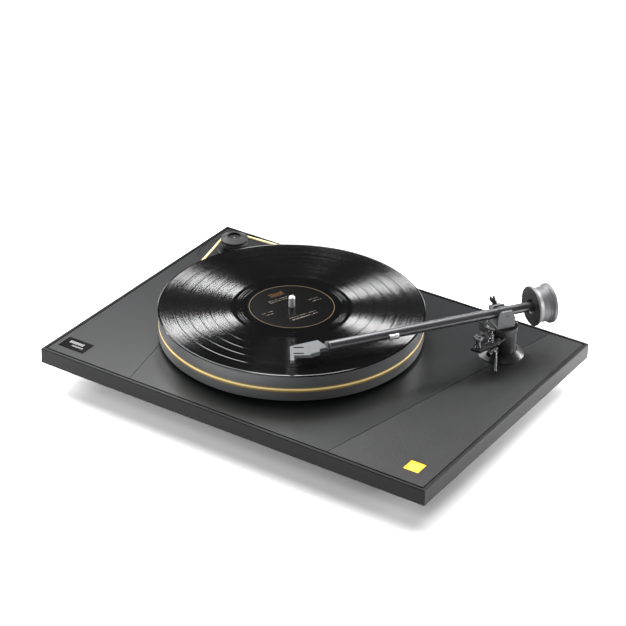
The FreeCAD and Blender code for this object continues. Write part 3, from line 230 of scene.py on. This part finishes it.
world = bpy.data.worlds.new("studio")
world.use_nodes = True
sky = world.node_tree.nodes["Background"].inputs
sky["Color"].default_value = (1, 1, 1, 1)
sky["Strength"].default_value = 0.05
bpy.context.scene.world = world

# ---------------------------------------------------------------- plinth
# A fibreboard plinth with a thin lip round its top edge, sprayed with satin near-black lacquer. Everything
# else is fixed to it or hangs in holes through it.
plinth = Finish("plinth_lacquer", (0.003, 0.0032, 0.0036), 0.38, Specular_IOR_Level=0.22)
plinth.fine_grain(2.4, 0.25, 0.03, 3.0)
plinth.paint("plinth_board")

# ---------------------------------------------------------------- top panels
# Thin aluminium panels let in flush with the plinth: satin grey at the left and in the middle, and a fine
# leather-like texture at the right.
satin = Finish("panel_satin", (0.008, 0.0086, 0.0092), Specular_IOR_Level=0.3)
satin.uneven_gloss(0.32, 0.05, 0.02)
satin.fine_grain(5.0, 0.4, 0.02)
satin.paint("top_panel_left", "top_panel_centre")

leather = Finish("panel_texture", (0.008, 0.0082, 0.0086), Specular_IOR_Level=0.32)
grain = leather.noise(leather.place(), 0.6, 4.0, 0.75)
leather.bump(grain, 1.0, 0.25)
leather.feed("Roughness", 0.24 + 0.22 * grain)
leather.paint("top_panel_right")

# ---------------------------------------------------------------- badge
# A small glossy black plate stuck down at the front left corner, screen-printed with two lines of pale
# blocks that spell nothing.
# Each printed line has a bottom, a top, two ends, its blocks in a millimetre and the gap's share of a block.
BADGE_LINES = ((0.6, 5.4, -10.5, 9.0, 0.36, 0.3), (-4.6, -2.2, -3.5, 12.0, 0.6, 0.35))
BADGE_BLACK, BADGE_PRINT = (0.004, 0.004, 0.004), (0.3, 0.3, 0.3)


def middle_of(name):
    """The middle of a CAD node's box in its own coordinates, in millimetres."""
    corners = [Vector(corner) for corner in nodes[name].bound_box]
    return sum(corners, Vector()) / len(corners) / MM


badge = Finish("badge_gloss", BADGE_BLACK, 0.12)
spot = badge.place()
badge_middle = middle_of("badge_plate")
across, along = badge.part(spot, 0) - badge_middle.x, badge.part(spot, 1) - badge_middle.y
printed = sum(along.within(low, high) * across.within(start, end) * ((across * blocks).part_over() > gap)
              for low, high, start, end, blocks, gap in BADGE_LINES)
badge.feed("Base Color", badge.mix(printed, BADGE_BLACK, BADGE_PRINT))
badge.paint("badge_plate")

# ---------------------------------------------------------------- power button
# A square cap moulded in translucent yellow plastic, lit from below by a lamp on the switch board. It slides
# in a black guide let into the right panel.
GLOW_EDGE, GLOW_CORE = (0.8, 0.34, 0.003), (1.0, 0.85, 0.12)
GLOW_INNER, GLOW_OUTER = 1.5, 10.0
button = Finish("button_yellow", (0.85, 0.5, 0.01), 0.35, Emission_Strength=0.75)
button_middle = middle_of("button_cap")
flat = button.stretch(button.place(), 1, 1, 0)
reach = button.vector("DISTANCE", flat, (button_middle.x, button_middle.y, 0), output="Value")
glow = 1 - reach.ease(GLOW_INNER, GLOW_OUTER)
button.feed("Emission Color", button.mix(glow, GLOW_EDGE, GLOW_CORE))
button.paint("button_cap")

black_plastic = Finish("guide_black", (0.006, 0.006, 0.006), 0.5)
black_plastic.fine_grain(3.0, 0.2, 0.02)
black_plastic.paint("button_guide", "switch_cover", "terminal_box", "power_inlet")

circuit = Finish("circuit_green", (0.01, 0.08, 0.03))
circuit.uneven_gloss(0.3, 0.1, 1.0)
circuit.paint("switch_board")

# ---------------------------------------------------------------- feet
# Black cups moulded in plastic with soft rubber pads under them, each held to the plinth by a zinc-plated
# bolt from below. The motor's grommets are of the same rubber, and the small screws have the same plating.
cup = Finish("foot_shell", (0.01, 0.01, 0.01), 0.55)
cup.fine_grain(3.0, 0.3, 0.03)
cup.paint("foot_cups")
rubber = Finish("foot_rubber", (0.012, 0.012, 0.012), 0.8)
rubber.fine_grain(4.0, 0.5, 0.04)
rubber.paint("foot_pads", "motor_grommets")
zinc = Finish("zinc_steel", (0.5, 0.5, 0.5), metallic=1.0)
zinc.uneven_gloss(0.26, 0.14, 1.2)
zinc.paint("foot_screws", "motor_screws", "bearing_screws", "height_lock_screw")

# ---------------------------------------------------------------- motor
# A round steel plate painted dark blue-grey closes the motor's opening. The motor, in a bare steel can,
# hangs under it on rubber grommets.
plate = Finish("motor_cover", (0.005, 0.006, 0.0066), 0.4, Specular_IOR_Level=0.25)
plate.fine_grain(4.0, 0.2, 0.015)
plate.paint("motor_plate")
can = Finish("motor_steel", (0.35, 0.35, 0.36), metallic=1.0)
can.feed("Roughness", 0.34 + 0.12 * can.noise(can.stretch(can.place(), 1, 1, 0.1), 0.8))
can.paint("motor_can")
bearing_steel = Finish("bearing_steel", (0.56, 0.56, 0.57), metallic=1.0)
bearing_steel.uneven_gloss(0.16, 0.1, 2.0)
bearing_steel.paint("motor_shaft", "thrust_ball", "swing_bearings", "swing_spindle")

# ---------------------------------------------------------------- pulley
# Turned from dark grey acetal and pressed on the motor's shaft, with fine turning marks and a groove for the
# belt.
# A near-black disc in the middle of its top is painted shade, standing for the inside of a cupped top.
PULLEY_GREY, CUP_PAINTED_SHADE, CUP_SHADE_RADIUS = (0.02, 0.02, 0.021), (0.002, 0.002, 0.002), 8.3


def joint_named(name):
    return next(joint for joint in frame["joints"] if joint["name"] == name)


def from_axis(finish, spot, joint_name):
    """The flat vector, in millimetres, from a hinge's upright axis to a point."""
    x, y, _ = joint_named(joint_name)["pos_m"]
    return finish.stretch(finish.vector("SUBTRACT", spot, (x / MM, y / MM, 0)), 1, 1, 0)


pulley = Finish("pulley_acetal", PULLEY_GREY, 0.5, Specular_IOR_Level=0.25)
radius = pulley.vector("LENGTH", from_axis(pulley, pulley.place(), "motor_spin"), output="Value")
pulley.bump(pulley.rings(radius, 3.0, 2.0), 0.3, 0.03)
# Inside the cup's radius the colour is near-black: painted shade, not the acetal's own colour.
pulley.feed("Base Color", pulley.mix(radius > CUP_SHADE_RADIUS, CUP_PAINTED_SHADE, PULLEY_GREY))
pulley.paint("drive_pulley")

# ---------------------------------------------------------------- belt
# A round belt moulded in pale yellow rubber, slightly glossy, stretched round the pulley and the groove in
# the platter's rim.
BELT_YELLOW, BELT_WORN = (0.85, 0.68, 0.32), (0.8, 0.66, 0.36)
# The belt is given a faint yellow glow: painted light that brightens it, though the rubber gives off no
# light.
belt = Finish("belt_rubber", BELT_YELLOW, 0.35, Emission_Strength=0.12)
belt.feed("Emission Color", (1.0, 0.72, 0.25))
belt.feed("Base Color", belt.mix(belt.noise(belt.place(), 0.05), BELT_YELLOW, BELT_WORN))
belt.paint("drive_belt")

# ---------------------------------------------------------------- bearing, hub and platter
# A black anodised housing and hub, a bronze bush, and a thick platter turned from dark grey acetal with fine
# turning marks round its rim. A yellow band painted round the belt's groove is a painted reflection of the
# belt.
anodised = Finish("black_anodised", (0.012, 0.012, 0.013), 0.38, 0.4)
anodised.fine_grain(5.0, 0.15, 0.02)
anodised.paint("bearing_housing", "platter_hub", "arm_base_nut", "lift_bracket", "cam_housing")
bronze = Finish("bronze", (0.42, 0.25, 0.1), metallic=1.0)
bronze.uneven_gloss(0.3, 0.12, 2.0)
bronze.paint("bearing_bush")

PLATTER_GREY, BELT_PAINTED_REFLECTION = (0.09, 0.092, 0.095), (0.42, 0.28, 0.04)
REFLECTION_NEAR, REFLECTION_FAR = 1.2, 3.4
platter = Finish("platter_acetal", PLATTER_GREY)
spot = platter.place()
marks = platter.noise(platter.stretch(spot, 0.004, 0.004, 1), 2.0, 3.0, 0.6)
platter.feed("Roughness", 0.32 + 0.1 * marks)
# Painted reflection of the yellow belt: strongest at the belt's height, fading above and below it.
painted_reflection = 1 - (platter.part(spot, 2) - middle_of("drive_belt").z).size().ease(REFLECTION_NEAR, REFLECTION_FAR)
platter.feed("Base Color", platter.mix(painted_reflection, PLATTER_GREY, BELT_PAINTED_REFLECTION))
platter.bump(marks, 0.35, 0.03)
platter.paint("platter")

# ---------------------------------------------------------------- spindle
# A ground steel pin with a rounded tip, pressed into the hub. It turns in the bush and centres the record.
spindle = Finish("spindle_polish", (0.8, 0.8, 0.82), metallic=0.7)
spindle.uneven_gloss(0.36, 0.06, 1.5)
spindle.paint("spindle_shaft")

# ---------------------------------------------------------------- record
# A pressed black vinyl disc: a smooth lead-in rim, six tracks of fine grooves with plain gaps between them,
# and a glossy run-out round the label. The grooves' sides tilt the surface outwards and inwards, so that a
# light shows as a fan on either side of the spindle.
GROOVES_IN, GROOVES_OUT = 68.5, 148.6
TRACK_GAPS, GAP_WIDTH = (78.5, 92.0, 105.5, 118.0, 132.0), 0.9
RUN_OUT_LINES, LINE_WIDTH = (57.5, 60.5, 63.0), 0.4
GROOVE_PITCH, GROOVE_SLOPE, SLOPE_DRIFT, SLOPE_SPREAD, WANDER = 0.125, 0.8, 0.5, 0.25, 0.45
FLAT_IN, FLAT_OUT = 49.5, 147.0
vinyl = Finish("vinyl", (0.002, 0.002, 0.0022))
offset = from_axis(vinyl, vinyl.place(), "platter_spin")
radius = vinyl.vector("LENGTH", offset, output="Value")
cut = radius.within(GROOVES_IN, GROOVES_OUT)
for gap in TRACK_GAPS:
    cut = cut - radius.within(gap, gap + GAP_WIDTH)
for line in RUN_OUT_LINES:
    cut = cut + radius.within(line, line + LINE_WIDTH)
outward = vinyl.node("ShaderNodeVectorTransform",
                     {"vector_type": "VECTOR", "convert_from": "OBJECT", "convert_to": "WORLD"},
                     {0: vinyl.vector("NORMALIZE", offset)})
side = ((radius / GROOVE_PITCH).part_over() > 0.5) * 2 - 1
drift = (vinyl.rings(radius, 0.55, 5.0, 0.75) - 0.5) * SLOPE_DRIFT
ragged = (vinyl.random((radius / GROOVE_PITCH).whole()) - 0.5) * SLOPE_SPREAD
tilt = cut * side * (GROOVE_SLOPE + drift + ragged)
wander = (vinyl.rings(radius, 0.8, 6.0, 0.8) - 0.5) * WANDER
sideways = vinyl.scaled(vinyl.vector("CROSS_PRODUCT", (0, 0, 1), outward), wander)
lean = vinyl.scaled(vinyl.vector("ADD", outward, sideways), tilt)
rounded = vinyl.node("ShaderNodeNewGeometry", output="Normal")
face = vinyl.mix(radius.within(FLAT_IN, FLAT_OUT), rounded, (0, 0, 1))
vinyl.feed("Normal", vinyl.vector("NORMALIZE", vinyl.vector("ADD", face, lean)))
vinyl.feed("Roughness", 0.05 + 0.13 * cut)
vinyl.paint("record_disc")

# ---------------------------------------------------------------- record label
# Black paper pressed into the middle of the record, printed with a tan border line, a small brown motif and
# faint rows of marks that spell nothing.
LABEL_BLACK, LABEL_TAN = (0.003, 0.0029, 0.0028), (0.15, 0.11, 0.065)
LABEL_BROWN, LABEL_PRINT = (0.06, 0.03, 0.013), (0.25, 0.23, 0.2)
BORDER_IN, BORDER_OUT, BORDER_STRENGTH = 47.6, 48.3, 0.7
TEXT_ROWS = ((-27.5, -25.5), (-22.5, -21.2), (21.5, 22.6), (18, 19))
TEXT_HALF, TEXT_CLEAR, PRINT_STRENGTH = 17, 17, 0.6
SIDE_TEXT_RISE, SIDE_TEXT_REACH = (2, 3), (24, 38)
MOTIF_ACROSS, MOTIF_ALONG = (-9, 9), (28, 36)
READ_TURN = math.radians(67)
label = Finish("label_paper", LABEL_BLACK, 0.24, Specular_IOR_Level=0.05)
offset = from_axis(label, label.place(), "platter_spin")
radius = label.vector("LENGTH", offset, output="Value")
turned = label.node("ShaderNodeVectorRotate", {"rotation_type": "Z_AXIS"},
                    {"Vector": offset, "Angle": -READ_TURN})
across, along = label.part(turned, 0), label.part(turned, 1)
letters = label.noise(label.stretch(turned, 1.4, 0.25, 0), 1.0, 1.0) > 0.5
rows = sum(along.within(low, high) for low, high in TEXT_ROWS)
text = rows * letters * (across.size() < TEXT_HALF) * (radius > TEXT_CLEAR)
side_text = along.size().within(*SIDE_TEXT_RISE) * across.size().within(*SIDE_TEXT_REACH) * letters
blots = label.noise(label.stretch(turned, 0.5, 0.5, 0), 1.0) > 0.47
motif = across.within(*MOTIF_ACROSS) * along.within(*MOTIF_ALONG) * blots
paper = label.mix(radius.within(BORDER_IN, BORDER_OUT) * BORDER_STRENGTH, LABEL_BLACK, LABEL_TAN)
paper = label.mix(motif, paper, LABEL_BROWN)
paper = label.mix((text + side_text) * PRINT_STRENGTH, paper, LABEL_PRINT)
label.feed("Base Color", paper)
label.paint("record_label")

# ---------------------------------------------------------------- arm base, pillar and collar
# Aluminium turnings with a gloss black finish: the flange is clamped to the plinth by a nut from below, and
# the pillar slides in it for height.
gloss = Finish("pillar_gloss", (0.012, 0.012, 0.0125))
gloss.uneven_gloss(0.26, 0.06, 0.05)
gloss.paint("arm_base_flange", "arm_pillar", "pillar_collar")

# ---------------------------------------------------------------- chrome trim
# Plated and polished steel: the rest post, the lift cylinder and its rod, and the bracket's screws. The bent
# lever is a darker bare steel.
chrome = Finish("chrome", (0.3, 0.3, 0.315), metallic=1.0)
chrome.uneven_gloss(0.22, 0.08, 0.2)
chrome.paint("rest_post", "lift_cylinder", "lift_rod", "bracket_screws")
dark_steel = Finish("lever_steel", (0.09, 0.09, 0.095), metallic=1.0)
dark_steel.uneven_gloss(0.32, 0.08, 0.2)
dark_steel.paint("cue_lever")

# ---------------------------------------------------------------- gimbal and small grey castings
# The gimbal is fine cast aluminium with a satin mid grey coat; the fork, the rest's cradle and the lift bar
# are moulded in darker plastic. A thin pale lead comes out beside them.
casting = Finish("gimbal_grey", (0.1, 0.103, 0.107), 0.48)
casting.fine_grain(3.0, 0.35, 0.03, 3.0)
casting.paint("gimbal_yoke", "pivot_screws")
moulding = Finish("fitting_grey", (0.055, 0.056, 0.058), 0.45)
moulding.fine_grain(3.0, 0.3, 0.02, 3.0)
moulding.paint("antiskate_fork", "rest_cradle", "lift_bar")
wire = Finish("lead_wire", (0.4, 0.4, 0.4))
wire.uneven_gloss(0.35, 0.1, 2.0)
wire.paint("signal_lead")

# ---------------------------------------------------------------- arm tube
# A drawn aluminium tube, satin graphite grey, clamped in the gimbal's sleeve, with a black ring at its head.
# A small knurled metal slug hangs under it.
tube = Finish("tube_graphite", (0.13, 0.13, 0.134), metallic=0.8)
tube.uneven_gloss(0.27, 0.06, 1.2)
tube.paint("arm_tube", "tilt_sleeve")
ring = Finish("ring_black", (0.01, 0.01, 0.01))
ring.uneven_gloss(0.36, 0.1, 2.0)
ring.paint("head_ring")
knurl = Finish("silver_knurl", (0.42, 0.42, 0.43), 0.35, 1.0)
knurl.fine_grain(1.3, 1.0, 0.5)
knurl.paint("damping_slug")

# ---------------------------------------------------------------- headshell
# A flat cast headshell with a light grey satin coat, fixed in the end of the tube. Its two slots take the
# cartridge's screws.
shell = Finish("shell_grey", (0.085, 0.091, 0.093), 0.5)
shell.fine_grain(3.0, 0.2, 0.02)
shell.paint("headshell")

# ---------------------------------------------------------------- counterweight
# A heavy metal spool turned with a waist, satin grey round its side and black on its front face. It slides
# on the stub behind the gimbal.
WEIGHT_GREY, WEIGHT_FACE = (0.12, 0.12, 0.124), (0.006, 0.006, 0.0065)
weight = Finish("weight_grey", WEIGHT_GREY, metallic=0.3)
facing = weight.node("ShaderNodeNewGeometry", output="Normal")
front = weight.vector("DOT_PRODUCT", facing, joint_named("weight_slide")["axis"], output="Value")
weight.feed("Base Color", weight.mix(front.ease(0.75, 0.9), WEIGHT_GREY, WEIGHT_FACE))
weight.uneven_gloss(0.42, 0.06, 0.2)
weight.paint("counterweight")

# ---------------------------------------------------------------- rear connections
# Gold-plated sockets and earth post, with white insulators, in the back of the terminal box.
gold = Finish("gold_contact", (0.75, 0.52, 0.2), metallic=1.0)
gold.uneven_gloss(0.18, 0.1, 1.5)
gold.paint("phono_sockets", "ground_post")
white = Finish("white_insulator", (0.7, 0.7, 0.68))
white.uneven_gloss(0.36, 0.1, 1.5)
white.paint("socket_insulators")
spring = Finish("spring_steel", (0.5, 0.5, 0.5), metallic=1.0)
spring.uneven_gloss(0.26, 0.1, 1.5)
spring.paint("button_spring")
